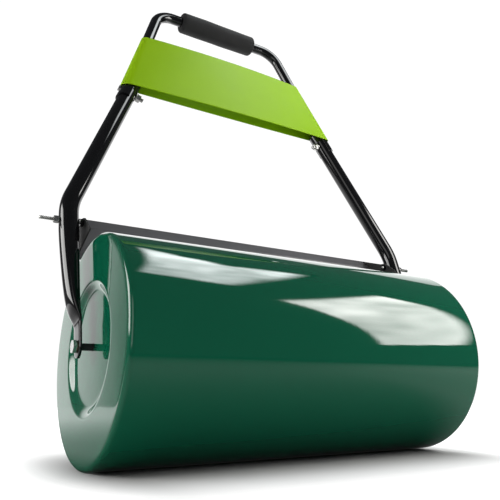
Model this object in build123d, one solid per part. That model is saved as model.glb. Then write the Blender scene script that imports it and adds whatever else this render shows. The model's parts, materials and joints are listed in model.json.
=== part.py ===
from build123d import *
import math
import os

# Lawn roller: a water-filled steel drum turning between two leaning side tubes,
# a U-shaped push handle with a foam grip, and a scraper bar behind the drum.
# Millimetres. X runs along the axle, Z is up, the handle leans back towards +Y,
# and the origin is on the ground under the middle of the axle.

# ---- drum ----
DRUM_RADIUS = 160.0
DRUM_LENGTH = 622.0
RIM_RADIUS = 7.0
SHEET = 1.5
RECESS_DEPTH = 7.0
RECESS_OUTER_RADIUS = 94.0
RECESS_FLOOR_RADIUS = 77.0
SHELL_HALF = 298.0
LAP_WIDTH = 16.0
AXLE_TUBE_RADIUS = 17.0
AXLE_TUBE_WALL = 2.0
HUB_LENGTH = 28.0

# ---- axle bolts and the collars they turn in ----
BOLT_RADIUS = 4.95
COLLAR_BORE = 5.02
COLLAR_RADIUS = 8.0
COLLAR_PRESS_RADIUS = 7.0
TAB_INNER_X = 322.0
TAB_THICKNESS = 4.0
COLLAR_OUTER_X = 327.2
BOLT_HEAD_X = 328.3
BOLT_HEAD_HEIGHT = 4.1
BOLT_INNER_END_X = 280.0

# ---- filler, in the recess of the right-hand end ----
FILLER_OFFSET = 54.0
FILLER_ANGLE = 63.0
NECK_BORE = 16.0
PLUG_RADIUS = 15.4
PLUG_HEAD_RADIUS = 20.5

# ---- handle frame, drawn upright and then leaned back ----
LEAN = 18.2
TUBE_RADIUS = 15.0
TUBE_WALL = 1.8
SIDE_X = 336.5
BEND_HEIGHT = 231.5
BEND_RADIUS = 100.0
LOWER_ANGLE = 22.0
LOWER_SLOPE_LENGTH = 318.0
TAB_WIDTH = 28.0
TAB_END_DROP = 2.0
# where the round tube is pressed down into the flat tab, from the top:
# (height, middle of the section in X, thickness, width)
FLATTENING = (
    (165.0, 336.5, 30.0, 30.0),
    (140.0, 334.6, 26.2, 30.2),
    (110.0, 333.7, 24.4, 30.6),
    (88.0, 332.8, 22.6, 31.2),
    (72.0, 331.6, 20.2, 32.0),
    (60.0, 330.2, 17.4, 32.8),
    (50.0, 328.2, 13.4, 33.0),
    (40.0, 325.1, 7.2, 32.0),
    (32.0, 324.0, 4.0, 28.0),
)

UPPER_RADIUS = 11.0
UPPER_WALL = 1.5
UPPER_ANGLE = 18.35
CORNER_X = 145.7
TOP_HEIGHT = 764.0
CORNER_RADIUS = 46.0
UPPER_LEG_LENGTH = 225.0
SADDLE_START = 270.0
SADDLE_END = 326.0
SADDLE_INNER = 15.3
SADDLE_OUTER = 17.8
JOINT_BOLT_AT = 292.3

GRIP_RADIUS = 22.5
GRIP_LEFT = -93.5
GRIP_RIGHT = 85.5

# ---- display sleeve round the two upper legs ----
FILM = 0.6
SLEEVE_LOW = 490.0
SLEEVE_HIGH = 690.0
SLEEVE_CUT_SLOPE = 0.57

# ---- scraper ----
STUD_HEIGHT = 200.0
STUD_RADIUS = 2.95
STUD_END_RADIUS = 3.0
STUD_PITCH_RADIUS = 2.675
STUD_HOLE = 3.03
STUD_OUTER_X = 380.0
STUD_END_START = 359.9
OUTER_NUT_START = 353.5
STUD_INNER_X = 308.5
BLADE_HALF = 313.0
BLADE_SHEET = 2.0
WEB_FRONT = 38.0
WEB_LOW = 158.6
WEB_HIGH = 218.4
LIP_TIP = (55.3, 244.7)


def lean_back(shape):
    return Pos(0, 0, DRUM_RADIUS) * Rot(-LEAN, 0, 0) * shape


def other_side(shape):
    return mirror(shape, about=Plane.YZ)


def both_sides(shape):
    return Compound(children=[shape, other_side(shape)])


def rod(radius, start_x, end_x, y=0.0, z=0.0):
    base = Plane(origin=(start_x, y, z), x_dir=(0, 1, 0), z_dir=(1, 0, 0))
    return extrude(base * Circle(radius), end_x - start_x)


def ring(outer, inner, start_x, end_x, y=0.0, z=0.0):
    return rod(outer, start_x, end_x, y, z) - rod(inner, start_x - 1, end_x + 1, y, z)


def hexagon(across_flats, start_x, end_x, y=0.0, z=0.0, chamfer_end=True):
    base = Plane(origin=(start_x, y, z), x_dir=(0, 1, 0), z_dir=(1, 0, 0))
    corner = across_flats / math.sqrt(3)
    body = extrude(base * RegularPolygon(corner, 6), end_x - start_x)
    reach = end_x - start_x
    if chamfer_end:
        cone = Cone(corner + 0.6 * reach, corner - 1.0, reach, align=(Align.CENTER, Align.CENTER, Align.MIN))
        body = body & (base * cone)
    return body


def drum_point(shape):
    return Pos(0, 0, DRUM_RADIUS) * shape


def make_shell():
    tube = ring(DRUM_RADIUS, DRUM_RADIUS - SHEET, -SHELL_HALF, SHELL_HALF)
    return drum_point(tube)


def end_section():
    """Half section of a pressed end: lap under the shell, rolled rim, flat face and dished middle."""
    face = DRUM_LENGTH / 2
    floor = face - RECESS_DEPTH
    rim_x = face - RIM_RADIUS
    rim_r = DRUM_RADIUS - RIM_RADIUS
    under = DRUM_RADIUS - SHEET
    step = RECESS_OUTER_RADIUS
    flat = RECESS_FLOOR_RADIUS
    mid = ((face + floor) / 2, (step + flat) / 2)
    with BuildSketch(Plane.XY) as section:
        with BuildLine():
            Line((SHELL_HALF, DRUM_RADIUS), (rim_x, DRUM_RADIUS))
            RadiusArc((rim_x, DRUM_RADIUS), (face, rim_r), RIM_RADIUS)
            Line((face, rim_r), (face, step))
            Spline((face, step), mid, (floor, flat), tangents=((0, -1), (0, -1)))
            Polyline((floor, flat), (floor, 5.5), (floor - SHEET, 5.5), (floor - SHEET, flat - 0.8))
            Spline((floor - SHEET, flat - 0.8), (mid[0] - 1.3, mid[1] - 0.8), (face - SHEET, step - 0.8),
                   tangents=((0, 1), (0, 1)))
            Line((face - SHEET, step - 0.8), (face - SHEET, rim_r))
            RadiusArc((face - SHEET, rim_r), (rim_x, under), SHEET - RIM_RADIUS)
            Polyline((rim_x, under), (SHELL_HALF + SHEET, under), (SHELL_HALF + SHEET, under - 1.4),
                     (SHELL_HALF - LAP_WIDTH, under - 1.4), (SHELL_HALF - LAP_WIDTH, under - 0.1),
                     (SHELL_HALF, under - 0.1), (SHELL_HALF, DRUM_RADIUS))
        make_face()
    return section.sketch


def make_end(filler):
    end = revolve(end_section(), Axis.X, 360)
    if filler:
        y, z = filler_centre()
        floor = DRUM_LENGTH / 2 - RECESS_DEPTH
        end = end - rod(NECK_BORE + 0.5, floor - 5, floor + 5, y, z)
    return drum_point(end)


def filler_centre():
    angle = math.radians(FILLER_ANGLE)
    return -FILLER_OFFSET * math.cos(angle), -FILLER_OFFSET * math.sin(angle)


def make_axle_tube():
    reach = DRUM_LENGTH / 2 - RECESS_DEPTH - SHEET
    tube = ring(AXLE_TUBE_RADIUS, AXLE_TUBE_RADIUS - AXLE_TUBE_WALL, -reach, reach)
    return drum_point(tube)


def make_hub():
    reach = DRUM_LENGTH / 2 - RECESS_DEPTH - SHEET
    insert = ring(AXLE_TUBE_RADIUS - AXLE_TUBE_WALL, BOLT_RADIUS + 0.05, reach - HUB_LENGTH, reach)
    return drum_point(insert)


def make_axle_bolt():
    shank = rod(BOLT_RADIUS, BOLT_INNER_END_X, BOLT_HEAD_X)
    shank = chamfer(shank.edges().sort_by(Axis.X)[0], 0.8)
    head = hexagon(17.0, BOLT_HEAD_X, BOLT_HEAD_X + BOLT_HEAD_HEIGHT)
    return drum_point(shank + head)


def make_axle_washer():
    return drum_point(ring(9.0, BOLT_RADIUS + 0.05, COLLAR_OUTER_X + 0.3, BOLT_HEAD_X))


def make_collar():
    flange = ring(COLLAR_RADIUS, COLLAR_BORE, TAB_INNER_X + TAB_THICKNESS, COLLAR_OUTER_X)
    barrel = ring(COLLAR_PRESS_RADIUS, COLLAR_BORE, TAB_INNER_X - 0.6, TAB_INNER_X + TAB_THICKNESS)
    return drum_point(flange + barrel)


def make_filler_neck():
    y, z = filler_centre()
    floor = DRUM_LENGTH / 2 - RECESS_DEPTH - SHEET
    return drum_point(ring(NECK_BORE + 4, NECK_BORE, floor - 13, floor, y, z))


def make_plug_gasket():
    y, z = filler_centre()
    floor = DRUM_LENGTH / 2 - RECESS_DEPTH
    return drum_point(ring(PLUG_HEAD_RADIUS, NECK_BORE + 0.2, floor + 0.2, floor + 1.6, y, z))


def make_filler_plug():
    y, z = filler_centre()
    floor = DRUM_LENGTH / 2 - RECESS_DEPTH
    seat = floor + 1.8
    body = ring(PLUG_RADIUS, PLUG_RADIUS - 3.0, floor - 11, seat + 0.5, y, z)
    disc = rod(PLUG_HEAD_RADIUS, seat, seat + 2.4, y, z)
    disc = chamfer(disc.edges().sort_by(Axis.X)[-1], 0.6)
    bar = Pos(seat + 3.4, y, z) * Box(2.4, 2 * PLUG_HEAD_RADIUS - 9, 7.0)
    bar = fillet(bar.edges().filter_by(Axis.X), 2.5)
    return drum_point(body + disc + bar)


def slope_plane(distance):
    """Plane square to the lower tube's sloping part, its X pointing outwards."""
    angle = math.radians(LOWER_ANGLE)
    x = SIDE_X - distance * math.sin(angle)
    z = BEND_HEIGHT + distance * math.cos(angle)
    return Plane(origin=(x, 0, z), x_dir=(math.cos(angle), 0, math.sin(angle)),
                 z_dir=(-math.sin(angle), 0, math.cos(angle)))


def slope_rod(radius, start, end):
    """Rod across the lower tube at the joint bolt, measured outwards from the tube's middle."""
    here = slope_plane(JOINT_BOLT_AT)
    base = Plane(origin=here.origin + here.x_dir * start, x_dir=(0, 1, 0), z_dir=here.x_dir)
    return extrude(base * Circle(radius), end - start)


def slope_hexagon(across_flats, start, end):
    here = slope_plane(JOINT_BOLT_AT)
    base = Plane(origin=here.origin + here.x_dir * start, x_dir=(0, 1, 0), z_dir=here.x_dir)
    return extrude(base * RegularPolygon(across_flats / math.sqrt(3), 6), end - start)


def flattened_end(wall):
    """Tube pressed from round to flat in one smooth loft, moved in by wall for its bore."""
    sections = []
    for height, middle, thickness, width in FLATTENING:
        plane = Plane(origin=(middle, 0, height), x_dir=(0, 1, 0), z_dir=(0, 0, 1))
        half_width = width / 2 - wall
        half_thickness = max(thickness / 2 - wall, 0.4)
        if half_width > half_thickness:
            sections.append(plane * Ellipse(half_width, half_thickness))
        else:
            sections.append(plane * Circle(half_width))
    return loft(sections)


def make_tab():
    tab_x = TAB_INNER_X + TAB_THICKNESS / 2
    top = FLATTENING[-1][0]
    end_at = -TAB_END_DROP
    plate = Pos(tab_x, 0, (top + end_at) / 2) * Box(TAB_THICKNESS, TAB_WIDTH, top - end_at)
    plate = plate + rod(TAB_WIDTH / 2, TAB_INNER_X, TAB_INNER_X + TAB_THICKNESS, 0, end_at)
    return plate


def make_lower_tube():
    start_z = FLATTENING[0][0]
    top = slope_plane(LOWER_SLOPE_LENGTH).origin
    path = FilletPolyline((SIDE_X, 0, start_z), (SIDE_X, 0, BEND_HEIGHT), (top.X, 0, top.Z),
                          radius=BEND_RADIUS)
    start = Plane(origin=(SIDE_X, 0, start_z), x_dir=(0, 1, 0), z_dir=(0, 0, 1))
    outer = sweep(start * Circle(TUBE_RADIUS), path=path)
    inner = sweep(start * Circle(TUBE_RADIUS - TUBE_WALL), path=path)
    pressed = flattened_end(0.0) - flattened_end(TUBE_WALL)
    tube = (outer - inner) + pressed + make_tab()
    tube = tube - rod(COLLAR_PRESS_RADIUS, TAB_INNER_X - 5, TAB_INNER_X + TAB_THICKNESS + 5)
    tube = tube - rod(STUD_HOLE, SIDE_X - 30, SIDE_X + 30, 0, STUD_HEIGHT)
    return tube - slope_rod(4.3, -30, 30)


def make_saddle():
    start = slope_plane(SADDLE_START)
    shell = extrude(start * (Circle(SADDLE_OUTER) - Circle(SADDLE_INNER)), SADDLE_END - SADDLE_START)
    keep = Plane(origin=start.origin + start.x_dir * 8, x_dir=start.x_dir, z_dir=start.z_dir)
    shell = shell & extrude(keep * Rectangle(22, 60), SADDLE_END - SADDLE_START)
    return shell


def leg_plane(distance):
    """Plane square to an upper leg, measured down from the handle's corner."""
    angle = math.radians(UPPER_ANGLE)
    x = CORNER_X + distance * math.sin(angle)
    z = TOP_HEIGHT - distance * math.cos(angle)
    return Plane(origin=(x, 0, z), x_dir=(math.cos(angle), 0, math.sin(angle)),
                 z_dir=(math.sin(angle), 0, -math.cos(angle)))


def make_leg_foot():
    """Pressed end of an upper leg, spreading from the round tube to the saddle."""
    low = slope_plane(SADDLE_END)
    seat = Plane(origin=low.origin + low.x_dir * 8.0, x_dir=low.x_dir, z_dir=low.z_dir)
    high = leg_plane(UPPER_LEG_LENGTH - 26)
    skin = loft([seat * RectangleRounded(19.0, 28.0, 9.3), high * RectangleRounded(22.0, 22.0, 10.9)])
    hollow = loft([seat * RectangleRounded(9.0, 18.0, 4.4), high * RectangleRounded(19.0, 19.0, 9.4)])
    return skin - hollow


def make_upper_handle():
    end = leg_plane(UPPER_LEG_LENGTH - 26).origin
    path = FilletPolyline((-end.X, 0, end.Z), (-CORNER_X, 0, TOP_HEIGHT), (CORNER_X, 0, TOP_HEIGHT),
                          (end.X, 0, end.Z), radius=CORNER_RADIUS)
    angle = math.radians(UPPER_ANGLE)
    start = Plane(origin=(-end.X, 0, end.Z), x_dir=(0, 1, 0), z_dir=(math.sin(angle), 0, math.cos(angle)))
    pipe = sweep(start * Circle(UPPER_RADIUS), path=path)
    pipe = pipe - sweep(start * Circle(UPPER_RADIUS - UPPER_WALL), path=path)
    foot = make_saddle() + make_leg_foot()
    return (pipe + foot + other_side(foot)) - slope_rod(4.3, -30, 30) - other_side(slope_rod(4.3, -30, 30))


def make_grip():
    grip = rod(GRIP_RADIUS, GRIP_LEFT, GRIP_RIGHT, 0, TOP_HEIGHT)
    grip = fillet(grip.edges().filter_by(GeomType.CIRCLE), 5.0)
    return grip - rod(UPPER_RADIUS + 0.1, GRIP_LEFT - 1, GRIP_RIGHT + 1, 0, TOP_HEIGHT)


def sleeve_section(height, half_width, half_depth, end_reach, front_bulge, back_bulge):
    plane = Plane(origin=(0, 0, height), x_dir=(1, 0, 0), z_dir=(0, 0, 1))
    w, d, e = half_width, half_depth, end_reach
    with BuildSketch(plane) as section:
        with BuildLine():
            ThreePointArc((-w, -d), (0, -d - front_bulge), (w, -d))
            ThreePointArc((w, -d), (w + e, 0), (w, d))
            ThreePointArc((w, d), (0, d + back_bulge), (-w, d))
            ThreePointArc((-w, d), (-w - e, 0), (-w, -d))
        make_face()
    return section.sketch


def make_sleeve():
    skin = loft([sleeve_section(SLEEVE_LOW, 236.5, 20.5, 15.8, 8.0, 2.0),
                 sleeve_section(SLEEVE_HIGH, 170.7, 12.6, 12.8, 11.0, 2.0)])
    hollow = loft([sleeve_section(SLEEVE_LOW, 236.5, 20.5 - FILM, 15.8 - FILM, 8.0, 2.0),
                   sleeve_section(SLEEVE_HIGH, 170.7, 12.6 - FILM, 12.8 - FILM, 11.0, 2.0)])
    slope = math.degrees(math.atan(SLEEVE_CUT_SLOPE))
    below = Pos(0, 0, 519.0) * Rot(slope, 0, 0) * Pos(0, 0, -100) * Box(700, 300, 200)
    above = Pos(0, 0, 668.0) * Rot(slope, 0, 0) * Pos(0, 0, 100) * Box(700, 300, 200)
    return skin - hollow - below - above


def make_joint_bolt():
    return slope_rod(4.0, -29.0, 18.0) + slope_rod(6.2, 17.9, 21.0)


def make_joint_washer():
    return slope_rod(8.0, -16.8, -15.2) - slope_rod(4.3, -18, -14)


def make_joint_nut():
    return slope_hexagon(13.0, -23.4, -16.9) - slope_rod(4.0, -25, -15)


def make_flange():
    """End plate of the scraper, reaching from the blade forward past the stud."""
    back = WEB_FRONT + BLADE_SHEET
    outline = [(back, WEB_LOW + 1.4), (back, WEB_HIGH), LIP_TIP, (6.0, 211.5), (0.0, 209.5),
               (-7.5, 205.0), (-31.0, 172.0)]
    plane = Plane(origin=(BLADE_HALF, 0, 0), x_dir=(0, 1, 0), z_dir=(1, 0, 0))
    plate = extrude(plane * make_face(Polyline(*outline, close=True)), BLADE_SHEET)
    return plate - rod(STUD_RADIUS, BLADE_HALF - 5, BLADE_HALF + 10, 0, STUD_HEIGHT)


def make_blade():
    back = WEB_FRONT + BLADE_SHEET
    web = Pos(0, (WEB_FRONT + back) / 2, (WEB_LOW + WEB_HIGH) / 2) * Box(
        2 * BLADE_HALF, BLADE_SHEET, WEB_HIGH - WEB_LOW)
    run = math.hypot(LIP_TIP[0] - WEB_FRONT, LIP_TIP[1] - WEB_HIGH)
    nx = (LIP_TIP[1] - WEB_HIGH) / run * BLADE_SHEET
    nz = -(LIP_TIP[0] - WEB_FRONT) / run * BLADE_SHEET
    outline = [(WEB_FRONT, WEB_HIGH), (LIP_TIP[0], LIP_TIP[1]),
               (LIP_TIP[0] + nx, LIP_TIP[1] + nz), (back, WEB_HIGH + nz)]
    plane = Plane(origin=(-BLADE_HALF, 0, 0), x_dir=(0, 1, 0), z_dir=(1, 0, 0))
    lip = extrude(plane * make_face(Polyline(*outline, close=True)), 2 * BLADE_HALF)
    flange = make_flange()
    return web + lip + flange + other_side(flange)


def make_stud():
    """M6 stud: plain where it turns in the tube, at pitch radius in its outer nut, then its free end."""
    core = rod(STUD_RADIUS, STUD_INNER_X, OUTER_NUT_START, 0, STUD_HEIGHT)
    in_nut = rod(STUD_PITCH_RADIUS, OUTER_NUT_START, STUD_END_START, 0, STUD_HEIGHT)
    free_end = rod(STUD_END_RADIUS, STUD_END_START, STUD_OUTER_X, 0, STUD_HEIGHT)
    free_end = chamfer(free_end.edges().filter_by(GeomType.CIRCLE).sort_by(Axis.X)[-1], 0.6)
    return core + in_nut + free_end


def make_flange_nut(start, height):
    nut = hexagon(10.0, start, start + height, 0, STUD_HEIGHT, chamfer_end=False)
    return nut - rod(STUD_RADIUS, start - 2, start + height + 2, 0, STUD_HEIGHT)


def make_outer_washer():
    start = SIDE_X + TUBE_RADIUS + 0.4
    return ring(6.0, STUD_RADIUS, start, start + 1.6, 0, STUD_HEIGHT)


def make_outer_nut():
    nut = hexagon(10.0, OUTER_NUT_START, OUTER_NUT_START + 6.0, 0, STUD_HEIGHT)
    return nut - rod(STUD_PITCH_RADIUS, OUTER_NUT_START - 2, OUTER_NUT_START + 9, 0, STUD_HEIGHT)


def main():
    os.makedirs("parts", exist_ok=True)
    right_end = make_end(filler=True)
    lower_tube = make_lower_tube()
    stud = make_stud()
    bolt = make_axle_bolt()

    export_step(make_shell(), "parts/drum_shell.step")
    export_step(other_side(make_end(filler=False)), "parts/drum_end_left.step")
    export_step(right_end, "parts/drum_end_right.step")
    export_step(make_axle_tube(), "parts/drum_axle_tube.step")
    export_step(both_sides(make_hub()), "parts/hub_inserts.step")
    export_step(other_side(bolt), "parts/axle_bolt_left.step")
    export_step(bolt, "parts/axle_bolt_right.step")
    export_step(both_sides(make_axle_washer()), "parts/axle_washers.step")
    export_step(make_filler_neck(), "parts/filler_neck.step")
    export_step(make_filler_plug(), "parts/filler_plug.step")
    export_step(make_plug_gasket(), "parts/plug_gasket.step")

    export_step(lean_back(other_side(lower_tube)), "parts/lower_tube_left.step")
    export_step(lean_back(lower_tube), "parts/lower_tube_right.step")
    export_step(both_sides(make_collar()), "parts/pivot_collars.step")
    export_step(lean_back(make_upper_handle()), "parts/upper_handle.step")
    export_step(lean_back(make_grip()), "parts/foam_grip.step")
    export_step(lean_back(make_sleeve()), "parts/display_sleeve.step")
    export_step(lean_back(both_sides(make_joint_bolt())), "parts/joint_bolts.step")
    export_step(lean_back(both_sides(make_joint_washer())), "parts/joint_washers.step")
    export_step(lean_back(both_sides(make_joint_nut())), "parts/joint_nuts.step")

    export_step(lean_back(make_blade()), "parts/scraper_blade.step")
    export_step(lean_back(other_side(stud)), "parts/scraper_stud_left.step")
    export_step(lean_back(stud), "parts/scraper_stud_right.step")
    inner_nut = make_flange_nut(BLADE_HALF - 3.5, 3.5)
    jam_nut = make_flange_nut(BLADE_HALF + BLADE_SHEET, 5.0)
    export_step(lean_back(both_sides(inner_nut)), "parts/scraper_inner_nuts.step")
    export_step(lean_back(both_sides(jam_nut)), "parts/scraper_jam_nuts.step")
    export_step(lean_back(both_sides(make_outer_washer())), "parts/scraper_outer_washers.step")
    export_step(lean_back(both_sides(make_outer_nut())), "parts/scraper_outer_nuts.step")


main()
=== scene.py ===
import json
import math

import bmesh
import bpy
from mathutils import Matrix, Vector, noise


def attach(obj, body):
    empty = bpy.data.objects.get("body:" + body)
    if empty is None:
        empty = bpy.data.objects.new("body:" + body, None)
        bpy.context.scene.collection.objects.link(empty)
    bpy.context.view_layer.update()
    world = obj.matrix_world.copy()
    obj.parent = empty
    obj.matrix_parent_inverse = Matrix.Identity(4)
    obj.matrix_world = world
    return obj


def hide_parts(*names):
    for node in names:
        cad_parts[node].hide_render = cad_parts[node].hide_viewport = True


# Lawn roller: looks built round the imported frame, in metres, in the same axes.
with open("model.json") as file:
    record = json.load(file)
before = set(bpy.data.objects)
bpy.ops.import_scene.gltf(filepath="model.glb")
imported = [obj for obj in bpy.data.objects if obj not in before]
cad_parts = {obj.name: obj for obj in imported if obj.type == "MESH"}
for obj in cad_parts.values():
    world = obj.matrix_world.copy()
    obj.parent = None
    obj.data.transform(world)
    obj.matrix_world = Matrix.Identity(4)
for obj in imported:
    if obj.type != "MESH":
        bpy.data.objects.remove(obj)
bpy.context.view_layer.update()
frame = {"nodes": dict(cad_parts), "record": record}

AXLE_Z = 0.160
DRUM_R = 0.160
FACE_X = 0.311
SHELL_HALF = 0.298
SHEET = 0.0015
RIM_R = 0.007
RECESS_DEPTH = 0.007
RECESS_OUTER_R = 0.094
RECESS_FLOOR_R = 0.077
FILLER_ANGLE = math.radians(63)
FILLER_OFFSET = 0.054
FILLER_HOLE_R = 0.0165
LEAN = math.radians(18.2)
SIDE_X = 0.3365
TUBE_R = 0.015
BEND_HEIGHT = 0.2315
BEND_ANGLE = math.radians(22)
BEND_RADIUS = 0.100
SLOPE_LENGTH = 0.318
TAB_X = 0.324
STUD_HEIGHT = 0.200
GRIP_HEIGHT = 0.764


# ---------------------------------------------------------------- shader helpers
class Shader:
    """A material's node tree, with short calls for the nodes used here."""

    def __init__(self, name):
        self.material = bpy.data.materials.new(name)
        self.material.use_nodes = True
        self.tree = self.material.node_tree
        self.body = self.tree.nodes["Principled BSDF"]
        self.where = self.tree.nodes.new("ShaderNodeTexCoord").outputs["Object"]

    def node(self, kind, **inputs):
        made = self.tree.nodes.new(kind)
        for key, value in inputs.items():
            self.feed(made.inputs[key.replace("_", " ")], value)
        return made

    def feed(self, socket, value):
        if isinstance(value, bpy.types.NodeSocket):
            self.tree.links.new(value, socket)
        else:
            socket.default_value = value

    def set(self, **inputs):
        for key, value in inputs.items():
            self.feed(self.body.inputs[key.replace("_", " ")], value)

    def stretched(self, scale):
        return self.node("ShaderNodeMapping", Vector=self.where, Scale=scale).outputs["Vector"]

    def noise(self, scale, detail=3.0, rough=0.5, at=None):
        made = self.node("ShaderNodeTexNoise", Vector=at or self.where, Scale=scale,
                         Detail=detail, Roughness=rough)
        return made.outputs["Fac"]

    def cells(self, scale, at=None):
        made = self.node("ShaderNodeTexVoronoi", Vector=at or self.where, Scale=scale)
        return made.outputs["Distance"]

    def ramp(self, value, low, high, out_low=0.0, out_high=1.0):
        made = self.node("ShaderNodeMapRange", Value=value)
        made.inputs["From Min"].default_value = low
        made.inputs["From Max"].default_value = high
        made.inputs["To Min"].default_value = out_low
        made.inputs["To Max"].default_value = out_high
        return made.outputs["Result"]

    def mix(self, factor, first, second):
        made = self.tree.nodes.new("ShaderNodeMix")
        made.data_type = "RGBA"
        self.feed(made.inputs[0], factor)
        for socket, value in ((made.inputs[6], first), (made.inputs[7], second)):
            if isinstance(value, tuple):
                value = (*value, 1.0)
            self.feed(socket, value)
        return made.outputs[2]

    def maths(self, first, second=0.0, kind="ADD"):
        made = self.tree.nodes.new("ShaderNodeMath")
        made.operation = kind
        self.feed(made.inputs[0], first)
        self.feed(made.inputs[1], second)
        return made.outputs[0]

    def bump(self, height, distance, strength=1.0, under=None):
        made = self.node("ShaderNodeBump", Height=height, Distance=distance, Strength=strength)
        if under is not None:
            self.feed(made.inputs["Normal"], under)
        return made.outputs["Normal"]


def green_paint():
    s = Shader("green_paint")
    drift = s.noise(3.0, 2.0)
    smear = s.noise(9.0, 4.0, 0.6, s.stretched((0.5, 2.0, 2.0)))
    dust = s.ramp(s.noise(420.0, 2.0, 0.7), 0.72, 0.80)
    colour = s.mix(drift, (0.0016, 0.068, 0.034), (0.0024, 0.080, 0.041))
    colour = s.mix(s.maths(dust, 0.06, "MULTIPLY"), colour, (0.16, 0.22, 0.18))
    peel = s.bump(s.noise(90.0, 2.0, 0.5), 0.00006, 0.30)
    waves = s.bump(s.noise(4.5, 2.0, 0.5, s.stretched((0.7, 1.5, 1.5))), 0.0016, 0.20, peel)
    s.set(Base_Color=colour, Roughness=0.5, Normal=waves, Coat_Weight=1.0, Coat_IOR=1.55,
          Coat_Roughness=s.ramp(smear, 0.35, 0.75, 0.018, 0.070), Coat_Normal=waves)
    s.body.inputs["Specular IOR Level"].default_value = 0.0
    return s.material


def black_paint():
    s = Shader("black_paint")
    haze = s.noise(14.0, 4.0, 0.6)
    dust = s.ramp(s.noise(600.0, 2.0, 0.7), 0.72, 0.80)
    colour = s.mix(s.maths(dust, 0.08, "MULTIPLY"), (0.0035, 0.0035, 0.0040), (0.12, 0.12, 0.12))
    peel = s.bump(s.noise(120.0, 2.0, 0.5), 0.00003, 0.35)
    s.set(Base_Color=colour, Roughness=0.45, Normal=peel, Coat_Weight=1.0, Coat_IOR=1.5,
          Coat_Roughness=s.ramp(haze, 0.3, 0.7, 0.035, 0.085), Coat_Normal=peel)
    s.body.inputs["Specular IOR Level"].default_value = 0.0
    return s.material


def satin_black():
    """The scraper's thinner, duller coat of black; its end plates get painted shade, a near-black colour
    standing for the shade they sit in, and a rougher finish.
    """
    s = Shader("satin_black")
    haze = s.noise(18.0, 4.0, 0.6, s.stretched((0.4, 2.0, 2.0)))
    scuffs = s.ramp(s.noise(70.0, 4.0, 0.7, s.stretched((0.3, 3.0, 3.0))), 0.62, 0.75)
    across = s.node("ShaderNodeSeparateXYZ", Vector=s.where).outputs["X"]
    # painted shade: past |x| 0.312 the end plates are coloured near-black to stand for the shade beside the
    # tubes, and are also made rougher
    end_plates_painted_shade_and_dull = s.ramp(s.maths(across, kind="ABSOLUTE"), 0.3120, 0.3130)
    colour = s.mix(end_plates_painted_shade_and_dull, (0.060, 0.058, 0.064), (0.005, 0.005, 0.005))
    colour = s.mix(s.maths(scuffs, 0.25, "MULTIPLY"), colour, (0.09, 0.085, 0.09))
    grain = s.bump(s.noise(380.0, 2.0, 0.6), 0.00005, 0.45)
    rough = s.maths(s.ramp(haze, 0.3, 0.7, 0.30, 0.42), s.maths(end_plates_painted_shade_and_dull, 0.45, "MULTIPLY"))
    s.set(Base_Color=colour, Roughness=rough, Normal=grain)
    s.body.inputs["Specular IOR Level"].default_value = 0.65
    return s.material


def zinc(name, colour, rough):
    s = Shader(name)
    spangle = s.noise(160.0, 3.0, 0.6)
    wear = s.noise(45.0, 4.0, 0.65)
    dark = tuple(0.55 * c for c in colour)
    scratches = s.bump(s.noise(240.0, 2.0, 0.6, s.stretched((1.0, 6.0, 6.0))), 0.00005, 0.6)
    s.set(Base_Color=s.mix(s.ramp(wear, 0.35, 0.75), colour, dark), Metallic=1.0,
          Roughness=s.ramp(spangle, 0.3, 0.7, rough - 0.07, rough + 0.10), Normal=scratches)
    return s.material


def bolt_steel():
    """Bright zinc on the bolt's head; the shank behind it is painted near-black, painted shade standing for
    the shadow it sits in.
    """
    s = Shader("bolt_steel")
    across = s.node("ShaderNodeSeparateXYZ", Vector=s.where).outputs["X"]
    # painted shade: inside the head the shank gets a near-black, non-metal colour that stands for the
    # shadow behind the head
    head_vs_painted_shade_shank = s.ramp(s.maths(across, kind="ABSOLUTE"), 0.3278, 0.3283)
    wear = s.noise(60.0, 4.0, 0.65)
    bright = s.mix(s.ramp(wear, 0.35, 0.75), (0.80, 0.80, 0.78), (0.52, 0.52, 0.51))
    scratches = s.bump(s.noise(240.0, 2.0, 0.6, s.stretched((1.0, 6.0, 6.0))), 0.00005, 0.5)
    s.set(Base_Color=s.mix(head_vs_painted_shade_shank, (0.012, 0.012, 0.013), bright), Metallic=head_vs_painted_shade_shank,
          Roughness=s.ramp(wear, 0.3, 0.7, 0.20, 0.34), Normal=scratches)
    return s.material


def foam():
    s = Shader("foam")
    pores = s.cells(900.0)
    fine = s.noise(1500.0, 3.0, 0.7)
    worn = s.noise(25.0, 4.0, 0.6)
    colour = s.mix(s.ramp(worn, 0.35, 0.75), (0.0075, 0.0075, 0.0078), (0.014, 0.014, 0.0145))
    skin = s.bump(s.maths(pores, s.maths(fine, 0.5, "MULTIPLY")), 0.00030, 0.50)
    s.set(Base_Color=colour, Roughness=s.ramp(fine, 0.3, 0.7, 0.66, 0.86), Normal=skin)
    s.body.inputs["Specular IOR Level"].default_value = 0.30
    return s.material


def lime_film():
    s = Shader("lime_film")
    cloud = s.noise(6.0, 3.0, 0.5)
    print_grain = s.noise(900.0, 2.0, 0.6)
    colour = s.mix(cloud, (0.205, 0.385, 0.0035), (0.250, 0.440, 0.0050))
    colour = s.mix(s.ramp(print_grain, 0.60, 0.80, 0.0, 0.10), colour, (0.27, 0.45, 0.01))
    creases = s.bump(s.noise(14.0, 3.0, 0.55, s.stretched((1.0, 1.0, 0.3))), 0.0010, 0.22)
    s.set(Base_Color=colour, Roughness=s.ramp(cloud, 0.3, 0.7, 0.38, 0.50), Normal=creases)
    s.body.inputs["Specular IOR Level"].default_value = 0.08
    return s.material


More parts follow.
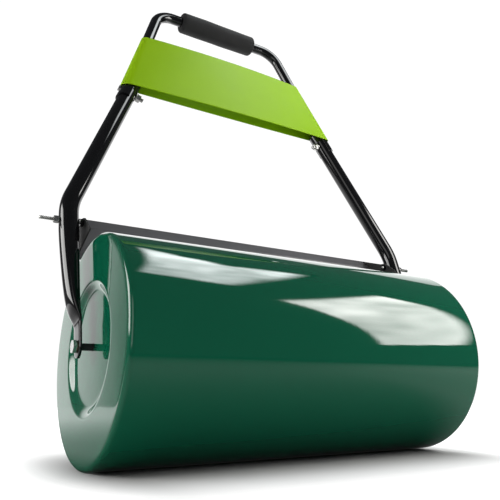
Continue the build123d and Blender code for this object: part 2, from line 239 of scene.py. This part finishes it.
def plain_plastic(name, colour, rough):
    s = Shader(name)
    mould = s.noise(520.0, 3.0, 0.6)
    wear = s.noise(30.0, 3.0, 0.6)
    lighter = tuple(1.8 * c + 0.004 for c in colour)
    s.set(Base_Color=s.mix(s.ramp(wear, 0.4, 0.8), colour, lighter), Normal=s.bump(mould, 0.00008, 0.6),
          Roughness=s.ramp(wear, 0.3, 0.7, rough - 0.08, rough + 0.08))
    return s.material


FINISH = {
    "green_paint": green_paint(),
    "black_paint": black_paint(),
    "satin_black": satin_black(),
    "zinc": zinc("zinc", (0.74, 0.74, 0.72), 0.24),
    "bolt_steel": bolt_steel(),
    "bare_steel": zinc("bare_steel", (0.40, 0.39, 0.38), 0.42),
    "bronze": zinc("bronze", (0.30, 0.24, 0.15), 0.38),
    "foam": foam(),
    "lime_film": lime_film(),
    "black_plastic": plain_plastic("black_plastic", (0.012, 0.012, 0.012), 0.48),
    "black_rubber": plain_plastic("black_rubber", (0.010, 0.010, 0.010), 0.72),
}
SLOT = {part["node"]: part["material_slot"] for part in frame["record"]["subparts"]}
SPECIAL = {"scraper_blade": "satin_black", "axle_bolt_left": "bolt_steel", "axle_bolt_right": "bolt_steel"}
BEVELS = {
    "scraper_blade": 0.0007, "scraper_inner_nuts": 0.0004, "scraper_jam_nuts": 0.0004,
    "scraper_outer_nuts": 0.0005, "joint_nuts": 0.0005, "axle_bolt_left": 0.0007,
    "axle_bolt_right": 0.0007, "joint_bolts": 0.0008, "filler_plug": 0.0005,
}


def finish_cad():
    for name, obj in frame["nodes"].items():
        finish = SPECIAL.get(name, SLOT[name])
        obj.data.materials.clear()
        obj.data.materials.append(FINISH[finish])
        if name in BEVELS:
            soften = obj.modifiers.new("soft_edges", "BEVEL")
            soften.width = BEVELS[name]
            soften.segments = 3
            soften.limit_method = "ANGLE"
            soften.angle_limit = math.radians(28)


# ---------------------------------------------------------------- mesh helpers
def leaned(x, back, along):
    """A point of the handle frame: across, square behind its plane, and up along it from the axle."""
    y = along * math.sin(LEAN) + back * math.cos(LEAN)
    z = AXLE_Z + along * math.cos(LEAN) - back * math.sin(LEAN)
    return Vector((x, y, z))


def piece(name, points, faces, slot, body, nodes=(), sharp=35):
    mesh = bpy.data.meshes.new(name)
    mesh.from_pydata(points, [], faces)
    work = bmesh.new()
    work.from_mesh(mesh)
    bmesh.ops.recalc_face_normals(work, faces=work.faces)
    work.to_mesh(mesh)
    work.free()
    mesh.shade_smooth()
    mesh.set_sharp_from_angle(angle=math.radians(sharp))
    mesh.materials.append(FINISH[slot])
    obj = bpy.data.objects.new(name, mesh)
    bpy.context.scene.collection.objects.link(obj)
    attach(obj, body)
    if nodes:
        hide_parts(*nodes)
    return obj


def wrap(rows, columns, join_rows=False):
    """Quads over a grid of points whose columns close on themselves, and rows too if asked."""
    faces = []
    for i in range(rows if join_rows else rows - 1):
        below = i * columns
        above = ((i + 1) % rows) * columns
        for j in range(columns):
            k = (j + 1) % columns
            faces.append((below + j, below + k, above + k, above + j))
    return faces


def lathe(name, section, slot, body, nodes=(), turns=288, sharp=35):
    """A closed section of (along the axle, radius) points, turned round the axle."""
    points = []
    for x, r in section:
        for j in range(turns):
            a = 2 * math.pi * j / turns
            points.append((x, r * math.cos(a), AXLE_Z + r * math.sin(a)))
    return piece(name, points, wrap(len(section), turns, join_rows=True), slot, body, nodes, sharp)


# ---------------------------------------------------------------- drum
def drum_shell():
    steps = 62
    outside = [(-SHELL_HALF + 2 * SHELL_HALF * i / steps, DRUM_R) for i in range(steps + 1)]
    inside = [(x, DRUM_R - SHEET) for x, r in reversed(outside)]
    lathe("drum_skin", outside + inside, "green_paint", "drum", ("drum_shell",))


def end_curve():
    """A pressed end from the joint with the shell, round the rim and down into the dish."""
    rim_x = FACE_X - RIM_R
    curve = [(SHELL_HALF, DRUM_R), ((SHELL_HALF + rim_x) / 2, DRUM_R), (rim_x, DRUM_R)]
    for i in range(1, 13):
        a = math.radians(90 * i / 12)
        curve.append((rim_x + RIM_R * math.sin(a), DRUM_R - RIM_R + RIM_R * math.cos(a)))
    curve += [(FACE_X, r / 1000) for r in (148, 140, 130, 120, 110, 102, 97)]
    for i in range(0, 21):
        t = i / 20
        fall = RECESS_DEPTH * t * t * (3 - 2 * t)
        curve.append((FACE_X - fall, RECESS_OUTER_R + (RECESS_FLOOR_R - RECESS_OUTER_R) * t))
    curve += [(FACE_X - RECESS_DEPTH, r / 1000) for r in (72, 60, 45, 30, 18, 5.5)]
    return curve


def drum_end(name, side, nodes):
    curve = end_curve()
    inner = []
    for i, (x, r) in enumerate(curve):
        before, after = curve[max(i - 1, 0)], curve[min(i + 1, len(curve) - 1)]
        run = Vector((after[0] - before[0], after[1] - before[1])).normalized()
        inner.append((x + SHEET * run.y, r - SHEET * run.x))
    section = [(side * x, r) for x, r in curve + inner[::-1]]
    return lathe(name, section, "green_paint", "drum", nodes, sharp=50)


def drill(obj, radius, depth, centre):
    """Cuts a round hole along the axle's direction and keeps the result as the piece's mesh."""
    bpy.ops.mesh.primitive_cylinder_add(vertices=96, radius=radius, depth=depth)
    cutter = bpy.context.object
    cutter.rotation_euler = (0, math.radians(90), 0)
    cutter.location = centre
    hole = obj.modifiers.new("hole", "BOOLEAN")
    hole.object = cutter
    hole.operation = "DIFFERENCE"
    hole.solver = "EXACT"
    bpy.context.view_layer.update()
    shaped = obj.evaluated_get(bpy.context.evaluated_depsgraph_get())
    finished = bpy.data.meshes.new_from_object(shaped)
    obj.modifiers.clear()
    obj.data = finished
    bpy.data.objects.remove(cutter)


# ---------------------------------------------------------------- handle
# from the round tube down to the flat tab: (height, middle across, half thickness, half width, squareness)
PRESSING = (
    (0.185, 0.33650, 0.01500, 0.0150, 2.0), (0.165, 0.33605, 0.01455, 0.0150, 2.0),
    (0.140, 0.33520, 0.01370, 0.0151, 2.0), (0.112, 0.33405, 0.01255, 0.0153, 2.0),
    (0.088, 0.33280, 0.01130, 0.0156, 2.0), (0.072, 0.33160, 0.01010, 0.0160, 2.1),
    (0.060, 0.33020, 0.00870, 0.0164, 2.2), (0.050, 0.32820, 0.00670, 0.0165, 2.4),
    (0.041, 0.32550, 0.00395, 0.0160, 3.0), (0.034, 0.32420, 0.00230, 0.0148, 4.0),
    (0.028, 0.32400, 0.00200, 0.0140, 5.0), (0.018, 0.32400, 0.00200, 0.0140, 6.0),
    (0.008, 0.32400, 0.00200, 0.0140, 6.0), (-0.002, 0.32400, 0.00200, 0.0140, 6.0),
)


def through(a, b, c, d, t):
    """A value between b and c on the smooth curve that also heeds their neighbours a and d."""
    return 0.5 * (2 * b + (c - a) * t + (2 * a - 5 * b + 4 * c - d) * t * t
                  + (3 * b - a - 3 * c + d) * t ** 3)


def smooth_between(rows, steps):
    """The rows, with more rows of numbers between them on a curve that passes through them all."""
    out = []
    for i in range(len(rows) - 1):
        p0, p1, p2, p3 = rows[max(i - 1, 0)], rows[i], rows[i + 1], rows[min(i + 2, len(rows) - 1)]
        for k in range(steps):
            t = k / steps
            out.append(tuple(through(a, b, c, d, t) for a, b, c, d in zip(p0, p1, p2, p3)))
    return out + [rows[-1]]


def tube_stations():
    """(across, along, lean of the section, half thickness, half width, squareness) from top to bottom."""
    leg = BEND_RADIUS * math.tan(BEND_ANGLE / 2)
    bend_end = BEND_HEIGHT - leg
    round_tube = (TUBE_R, TUBE_R, 2.0)
    stations = []
    for i in range(25):
        d = SLOPE_LENGTH + (leg - SLOPE_LENGTH) * i / 24
        stations.append((SIDE_X - d * math.sin(BEND_ANGLE), BEND_HEIGHT + d * math.cos(BEND_ANGLE),
                         BEND_ANGLE, *round_tube))
    for i in range(1, 21):
        a = BEND_ANGLE * (1 - i / 20)
        stations.append((SIDE_X - BEND_RADIUS * (1 - math.cos(a)), bend_end + BEND_RADIUS * math.sin(a),
                         a, *round_tube))
    for i in range(1, 5):
        stations.append((SIDE_X, bend_end + (0.1855 - bend_end) * i / 4, 0.0, *round_tube))
    for along, middle, thick, wide, square in smooth_between(PRESSING, 4):
        stations.append((middle, along, 0.0, thick, wide, square))
    for i in range(1, 17):
        a = math.radians(89 * i / 16)
        stations.append((TAB_X, -0.002 - 0.014 * math.sin(a), 0.0, 0.002, 0.014 * math.cos(a), 6.0))
    return stations


def lower_tube(side, name, node_name):
    turns = 72
    stations = tube_stations()
    inner = [(x, along, a, 0.0132, 0.0132, 2.0) for x, along, a, thick, wide, square in stations[:4]]
    points = []
    for x, along, a, thick, wide, square in inner[::-1] + stations:
        for j in range(turns):
            t = 2 * math.pi * j / turns
            c, w = math.cos(t), math.sin(t)
            out = thick * math.copysign(abs(c) ** (2 / square), c)
            back = wide * math.copysign(abs(w) ** (2 / square), w)
            points.append(leaned(side * (x + out * math.cos(a)), back, along + out * math.sin(a)))
    rows = len(inner) + len(stations)
    faces = wrap(rows, turns)
    for row in (0, rows - 1):
        faces.append([row * turns + j for j in range(turns)])
    tube = piece(name, points, faces, "black_paint", "handle_frame", (node_name,), sharp=48)
    drill(tube, 0.0070, 0.03, (side * TAB_X, 0, AXLE_Z))
    drill(tube, 0.00303, 0.06, leaned(side * SIDE_X, 0, STUD_HEIGHT))


def lower_tubes():
    lower_tube(-1, "side_tube_left", "lower_tube_left")
    lower_tube(1, "side_tube_right", "lower_tube_right")


def foam_grip():
    low_x, high_x, radius, core, corner = -0.0935, 0.0855, 0.0222, 0.0112, 0.0055
    rounded = []
    for i in range(8, -1, -1):
        a = math.radians(90 * i / 8)
        rounded.append((low_x + corner * (1 - math.sin(a)), radius - corner * (1 - math.cos(a))))
    lengths = 56
    straight = high_x - low_x - 2 * corner
    middle = [(low_x + corner + straight * i / lengths, radius) for i in range(1, lengths)]
    far = [(low_x + high_x - x, r) for x, r in reversed(rounded)]
    outline = [(low_x, core)] + rounded + middle + far + [(high_x, core)]
    points = []
    turns = 96
    for x, r in outline:
        for j in range(turns):
            a = 2 * math.pi * j / turns
            soft = 0.00035 * noise.noise(Vector((x * 30, math.cos(a) * 1.2, math.sin(a) * 1.2)))
            pulled = 0.0004 * math.cos(math.pi * (x + 0.004) / 0.179)
            grow = (soft + pulled - 0.0002) if r > 0.018 else 0.0
            points.append(leaned(x, (r + grow) * math.cos(a), GRIP_HEIGHT + (r + grow) * math.sin(a)))
    grip = piece("grip_foam", points, wrap(len(outline), turns, join_rows=True), "foam", "handle_frame",
                 ("foam_grip",), 60)


def arc_points(start, mid, end, count):
    """Points along the circle through three points, without the last."""
    (ax, ay), (bx, by), (cx, cy) = start, mid, end
    d = 2 * (ax * (by - cy) + bx * (cy - ay) + cx * (ay - by))
    a2, b2, c2 = ax * ax + ay * ay, bx * bx + by * by, cx * cx + cy * cy
    ox = (a2 * (by - cy) + b2 * (cy - ay) + c2 * (ay - by)) / d
    oy = (a2 * (cx - bx) + b2 * (ax - cx) + c2 * (bx - ax)) / d
    r = math.hypot(ax - ox, ay - oy)
    first, middle, last = (math.atan2(y - oy, x - ox) for x, y in (start, mid, end))
    turn = (last - first) % (2 * math.pi)
    if (middle - first) % (2 * math.pi) > turn:
        turn -= 2 * math.pi
    return [(ox + r * math.cos(first + turn * i / count), oy + r * math.sin(first + turn * i / count))
            for i in range(count)]


def sleeve_loop(along):
    """The sleeve's outline (across, back) at a height along the frame."""
    t = (along - 0.490) / 0.200
    w = 0.2365 + t * (0.1707 - 0.2365)
    d = 0.0205 + t * (0.0126 - 0.0205)
    e = 0.0158 + t * (0.0128 - 0.0158)
    front = 0.0080 + t * 0.0030
    loop = arc_points((-w, -d), (0, -d - front), (w, -d), 120)
    loop += arc_points((w, -d), (w + e, 0), (w, d), 64)
    loop += arc_points((w, d), (0, d + 0.002), (-w, d), 120)
    loop += arc_points((-w, d), (-w - e, 0), (-w, -d), 64)
    return loop


def sleeve():
    rows = 60
    around = len(sleeve_loop(0.6))
    points = []
    for i in range(rows + 1):
        share = i / rows
        cut = 0.519 + share * 0.149
        at = [cut] * around
        for step in range(3):
            loops = {}
            for j in range(around):
                key = round(at[j], 4)
                if key not in loops:
                    loops[key] = sleeve_loop(key)
                at[j] = cut + 0.57 * loops[key][j][1]
        for j in range(around):
            x, back = sleeve_loop(at[j])[j]
            free = max(0.0, 1 - abs(x) / 0.16)
            sag = noise.noise(Vector((x * 9, at[j] * 5, 3.0 if back > 0 else 0.0)))
            tight = noise.noise(Vector((x * 40, at[j] * 12, 7.0)))
            lift = 0.0011 * sag * free + 0.00015 * tight
            points.append(leaned(x, back * 0.995 - math.copysign(lift, back) * 0.6, at[j]))
    skin = piece("sleeve_film", points, wrap(rows + 1, around), "lime_film", "handle_frame",
                 ("display_sleeve",), 70)
    wall = skin.modifiers.new("film", "SOLIDIFY")
    wall.thickness = 0.0005
    wall.offset = -1


# ---------------------------------------------------------------- threads
def threaded_rod(name, start, end, radius, pitch, centre, side, body, nodes):
    """A rod along the axle's direction with a real thread running round it."""
    turns = 32
    steps = int((end - start) / (pitch / 8))
    points = []
    for i in range(steps + 1):
        x = start + (end - start) * i / steps
        for j in range(turns):
            a = 2 * math.pi * j / turns
            phase = (x / pitch - j / turns) % 1.0
            r = radius - 0.00062 * min(1.0, 1.25 * abs(2 * phase - 1))
            if end - x < 0.0007:
                r = min(r, radius - 0.0006)
            points.append((side * x, centre[0] + r * math.cos(a), centre[1] + r * math.sin(a)))
    faces = wrap(steps + 1, turns)
    for ring_start, x in ((0, start), (steps * turns, end)):
        middle = len(points)
        points.append((side * x, centre[0], centre[1]))
        for j in range(turns):
            faces.append((ring_start + j, ring_start + (j + 1) % turns, middle))
    piece(name, points, faces, "zinc", body, nodes, sharp=50)


def studs():
    seat = leaned(0, 0, STUD_HEIGHT)
    for side, label in ((-1, "left"), (1, "right")):
        threaded_rod(f"stud_thread_{label}", 0.3085, 0.380, 0.00299, 0.001, (seat.y, seat.z), side,
                     "scraper", (f"scraper_stud_{label}",))


finish_cad()
drum_shell()
drum_end("end_dish_left", -1, ("drum_end_left",))
right_end = drum_end("end_dish_right", 1, ("drum_end_right",))
drill(right_end, FILLER_HOLE_R, 0.03,
      (FACE_X - RECESS_DEPTH, -FILLER_OFFSET * math.cos(FILLER_ANGLE),
       AXLE_Z - FILLER_OFFSET * math.sin(FILLER_ANGLE)))
lower_tubes()
foam_grip()
sleeve()
studs()


# ---------------------------------------------------------------- studio
def glow(name, colour, strength):
    """An emission material; strength is a number, or a function that adds the nodes for it."""
    material = bpy.data.materials.new(name)
    material.use_nodes = True
    tree = material.node_tree
    tree.nodes.clear()
    lamp = tree.nodes.new("ShaderNodeEmission")
    lamp.inputs["Color"].default_value = (*colour, 1.0)
    if callable(strength):
        tree.links.new(strength(tree), lamp.inputs["Strength"])
    else:
        lamp.inputs["Strength"].default_value = strength
    out = tree.nodes.new("ShaderNodeOutputMaterial")
    tree.links.new(lamp.outputs[0], out.inputs[0])
    return material


def node(tree, kind, **values):
    made = tree.nodes.new(kind)
    for key, value in values.items():
        if hasattr(made, key):
            setattr(made, key, value)
        elif isinstance(value, bpy.types.NodeSocket):
            tree.links.new(value, made.inputs[key.replace("_", " ")])
        else:
            made.inputs[key.replace("_", " ")].default_value = value
    return made


def maths(tree, kind, first, second=0.0):
    made = tree.nodes.new("ShaderNodeMath")
    made.operation = kind
    for socket, value in zip(made.inputs, (first, second)):
        if isinstance(value, bpy.types.NodeSocket):
            tree.links.new(value, socket)
        else:
            socket.default_value = value
    return made.outputs[0]


def smooth_step(tree, value, near, far, low_level, high_level):
    fade = node(tree, "ShaderNodeMapRange", interpolation_type="SMOOTHSTEP", Value=value)
    fade.inputs["From Min"].default_value = near
    fade.inputs["From Max"].default_value = far
    fade.inputs["To Min"].default_value = low_level
    fade.inputs["To Max"].default_value = high_level
    return fade.outputs["Result"]


def edge_distance(point, start, end):
    run = end - start
    t = max(0.0, min(1.0, (point - start).dot(run) / run.length_squared))
    return (point - start - run * t).length


def inside(point, corners):
    count = 0
    for a, b in zip(corners, corners[1:] + corners[:1]):
        if (a.y > point.y) != (b.y > point.y):
            if point.x < a.x + (point.y - a.y) / (b.y - a.y) * (b.x - a.x):
                count += 1
    return count % 2 == 1


def softbox(name, corners, colour, strength, softness, drift):
    """A flat lamp whose brightness fades towards each edge by its softness and drifts a little."""
    corners = [Vector(c) for c in corners]
    along = (corners[1] - corners[0]).normalized()
    square = along.cross(corners[2] - corners[0]).normalized()
    up = square.cross(along)
    outline = [Vector(((c - corners[0]).dot(along), (c - corners[0]).dot(up))) for c in corners]
    low_u, high_u = min(c.x for c in outline), max(c.x for c in outline)
    low_v, high_v = min(c.y for c in outline), max(c.y for c in outline)
    cells = 90
    points, levels = [], []
    for i in range(cells + 1):
        for j in range(cells + 1):
            here = Vector((low_u + (high_u - low_u) * i / cells, low_v + (high_v - low_v) * j / cells))
            level = 0.0
            if inside(here, outline):
                level = 1.0
                for k, soft in enumerate(softness):
                    t = min(1.0, edge_distance(here, outline[k], outline[(k + 1) % len(outline)]) / soft)
                    level *= t * t * (3 - 2 * t)
            cloth = noise.noise(Vector((here.x * 3.1, here.y * 3.1, 4.0)))
            cloth += 0.5 * noise.noise(Vector((here.x * 9.0, here.y * 9.0, 8.0)))
            levels.append(strength * level * max(0.15, 1 + drift * cloth))
            points.append(corners[0] + along * here.x + up * here.y)
    faces = []
    for i in range(cells):
        for j in range(cells):
            a = i * (cells + 1) + j
            quad = (a, a + 1, a + cells + 2, a + cells + 1)
            if any(levels[q] > 0 for q in quad):
                faces.append(quad)
    mesh = bpy.data.meshes.new(name)
    mesh.from_pydata(points, [], faces)
    stored = mesh.attributes.new("level", "FLOAT", "POINT")
    stored.data.foreach_set("value", levels)
    mesh.materials.append(glow(name, colour, stored_level))
    obj = bpy.data.objects.new(name, mesh)
    bpy.context.scene.collection.objects.link(obj)
    obj.visible_camera = False


def stored_level(tree):
    level = tree.nodes.new("ShaderNodeAttribute")
    level.attribute_name = "level"
    return level.outputs["Fac"]


def fade_round(tree):
    """Backdrop strength by bearing: dim behind on the left, rising to white straight behind."""
    place = tree.nodes.new("ShaderNodeNewGeometry").outputs["Position"]
    parts = node(tree, "ShaderNodeSeparateXYZ", Vector=place)
    bearing = maths(tree, "ARCTAN2", parts.outputs["X"], parts.outputs["Y"])
    return smooth_step(tree, bearing, math.radians(-28), math.radians(-18), 0.16, 1.6)


def backdrop():
    steps = 48
    points = []
    for i in range(steps + 1):
        turn = math.radians(-95 + 165 * i / steps)
        for z in (-0.4, 2.45):
            points.append((3.2 * math.sin(turn), 3.2 * math.cos(turn), z))
    faces = [(2 * i, 2 * i + 2, 2 * i + 3, 2 * i + 1) for i in range(steps)]
    mesh = bpy.data.meshes.new("backdrop")
    mesh.from_pydata(points, [], faces)
    mesh.materials.append(glow("backdrop", (1.0, 1.0, 1.0), fade_round))
    obj = bpy.data.objects.new("backdrop", mesh)
    bpy.context.scene.collection.objects.link(obj)
    obj.visible_camera = False


def white_dome():
    """The plain white that the camera sees round the object; it lights and reflects nothing."""
    bpy.ops.mesh.primitive_uv_sphere_add(segments=48, ring_count=24, radius=14)
    dome = bpy.context.object
    dome.name = "white_dome"
    dome.data.materials.append(glow("white_dome", (1.0, 1.0, 1.0), 1.05))
    dome.visible_glossy = False
    dome.visible_diffuse = False
    dome.visible_shadow = False
    dome.visible_transmission = False


def studio():
    world = bpy.data.worlds.new("studio")
    bpy.context.scene.world = world
    world.use_nodes = True
    world.node_tree.nodes["Background"].inputs["Color"].default_value = (0.9, 0.95, 1.0, 1.0)
    world.node_tree.nodes["Background"].inputs["Strength"].default_value = 0.09
    softbox("softbox_top", [(0.24, 0.63, 1.66), (0.45, 0.36, 1.66), (0.62, 0.20, 1.66), (1.07, 0.23, 1.66),
                            (0.70, -0.70, 1.66), (0.22, -0.54, 1.66)], (0.95, 0.99, 1.0), 7.5,
            (0.10, 0.10, 0.12, 0.14, 0.10, 0.05), 0.55)
    softbox("softbox_side", [(0.655, -0.767, 1.21), (0.937, -0.279, 1.15), (0.895, -0.352, 0.76),
                             (0.79, -0.53, 0.30), (0.655, -0.767, 0.295)], (1.0, 0.99, 0.96), 9.5,
            (0.10, 0.03, 0.05, 0.008, 0.03), 0.55)
    softbox("softbox_left", [(-2.52, -0.25, 0.36), (-2.12, 1.35, 0.36), (-2.12, 1.35, 1.90),
                             (-2.52, -0.25, 1.90)], (1.0, 0.995, 0.98), 8.5, (0.15, 0.12, 0.30, 0.20), 0.25)
    softbox("softbox_fill", [(-1.85, -1.15, 0.02), (-0.95, -1.95, 0.02), (-0.95, -1.95, 1.90),
                             (-1.85, -1.15, 1.90)], (1.0, 0.995, 0.98), 1.5, (0.20, 0.35, 0.30, 0.35), 0.25)
    backdrop()
    white_dome()


def floor_plane(name, height):
    bpy.ops.mesh.primitive_plane_add(size=1)
    ground = bpy.context.object
    ground.name = name
    ground.scale = (6.0, 4.15, 1)
    ground.location = (0.5, 0.93, height)
    material = bpy.data.materials.new(name)
    material.use_nodes = True
    ground.data.materials.append(material)
    return ground, material.node_tree


def from_contact(tree):
    """Distance from the line where the drum stands, and the place on the floor across and back."""
    place = tree.nodes.new("ShaderNodeNewGeometry").outputs["Position"]
    parts = node(tree, "ShaderNodeSeparateXYZ", Vector=place)
    from_middle = maths(tree, "ABSOLUTE", parts.outputs["X"])
    past_end = maths(tree, "MAXIMUM", maths(tree, "SUBTRACT", from_middle, 0.26))
    stretched = maths(tree, "MULTIPLY", past_end, 2.6)
    total = maths(tree, "ADD", maths(tree, "POWER", stretched, 2.0),
                  maths(tree, "MULTIPLY", parts.outputs["Y"], parts.outputs["Y"]))
    return maths(tree, "SQRT", total), parts.outputs["X"], parts.outputs["Y"]


def floor():
    ground, tree = floor_plane("floor", 0.0)
    paper = tree.nodes["Principled BSDF"]
    paper.inputs["Base Color"].default_value = (0.40, 0.40, 0.40, 1)
    paper.inputs["Roughness"].default_value = 0.8
    paper.inputs["Specular IOR Level"].default_value = 0.1
    paper.inputs["Emission Color"].default_value = (1, 1, 1, 1)
    away = from_contact(tree)[0]
    # painted shadow: the floor glows white by its own light away from the drum's contact line and not close
    # to it, so the dark patch round the drum is partly painted contact shadow and partly real shadow on the
    # grey base
    tree.links.new(smooth_step(tree, away, 0.07, 0.38, 0.0, 1.0), paper.inputs["Emission Strength"])
    ground.visible_glossy = False

    sheen, tree = floor_plane("floor_in_reflections", -0.003)
    tree.nodes.clear()
    lamp = tree.nodes.new("ShaderNodeEmission")
    away, across, back = from_contact(tree)
    # painted shadow: this plane, seen only in reflections, glows by its own light and is dimmed near the
    # drum's contact line to stand for the drum's shadow on the floor; it is brighter to the right and
    # behind
    near = smooth_step(tree, away, 0.05, 0.50, 0.02, 1.0)
    right = smooth_step(tree, across, 0.1, 1.2, 0.42, 1.0)
    behind = smooth_step(tree, back, 0.2, 1.8, 1.0, 3.7)
    front_edge = smooth_step(tree, back, -1.13, -0.55, 0.0, 1.0)
    level = near
    for factor in (right, behind, front_edge):
        level = maths(tree, "MULTIPLY", level, factor)
    tree.links.new(level, lamp.inputs["Strength"])
    out = tree.nodes.new("ShaderNodeOutputMaterial")
    tree.links.new(lamp.outputs[0], out.inputs[0])
    sheen.visible_camera = False
    sheen.visible_diffuse = False
    sheen.visible_shadow = False


def camera():
    data = bpy.data.cameras.new("camera")
    data.lens = 42.8
    data.shift_x = -0.0484
    data.shift_y = -0.0466
    obj = bpy.data.objects.new("camera", data)
    obj.location = (-0.5553, -0.8313, 0.1043)
    obj.rotation_euler = (math.radians(105.3), 0, math.radians(-33.51))
    bpy.context.scene.collection.objects.link(obj)
    bpy.context.scene.camera = obj


studio()
floor()
camera()
bpy.context.scene.view_settings.view_transform = "Standard"
bpy.context.scene.view_settings.look = "None"
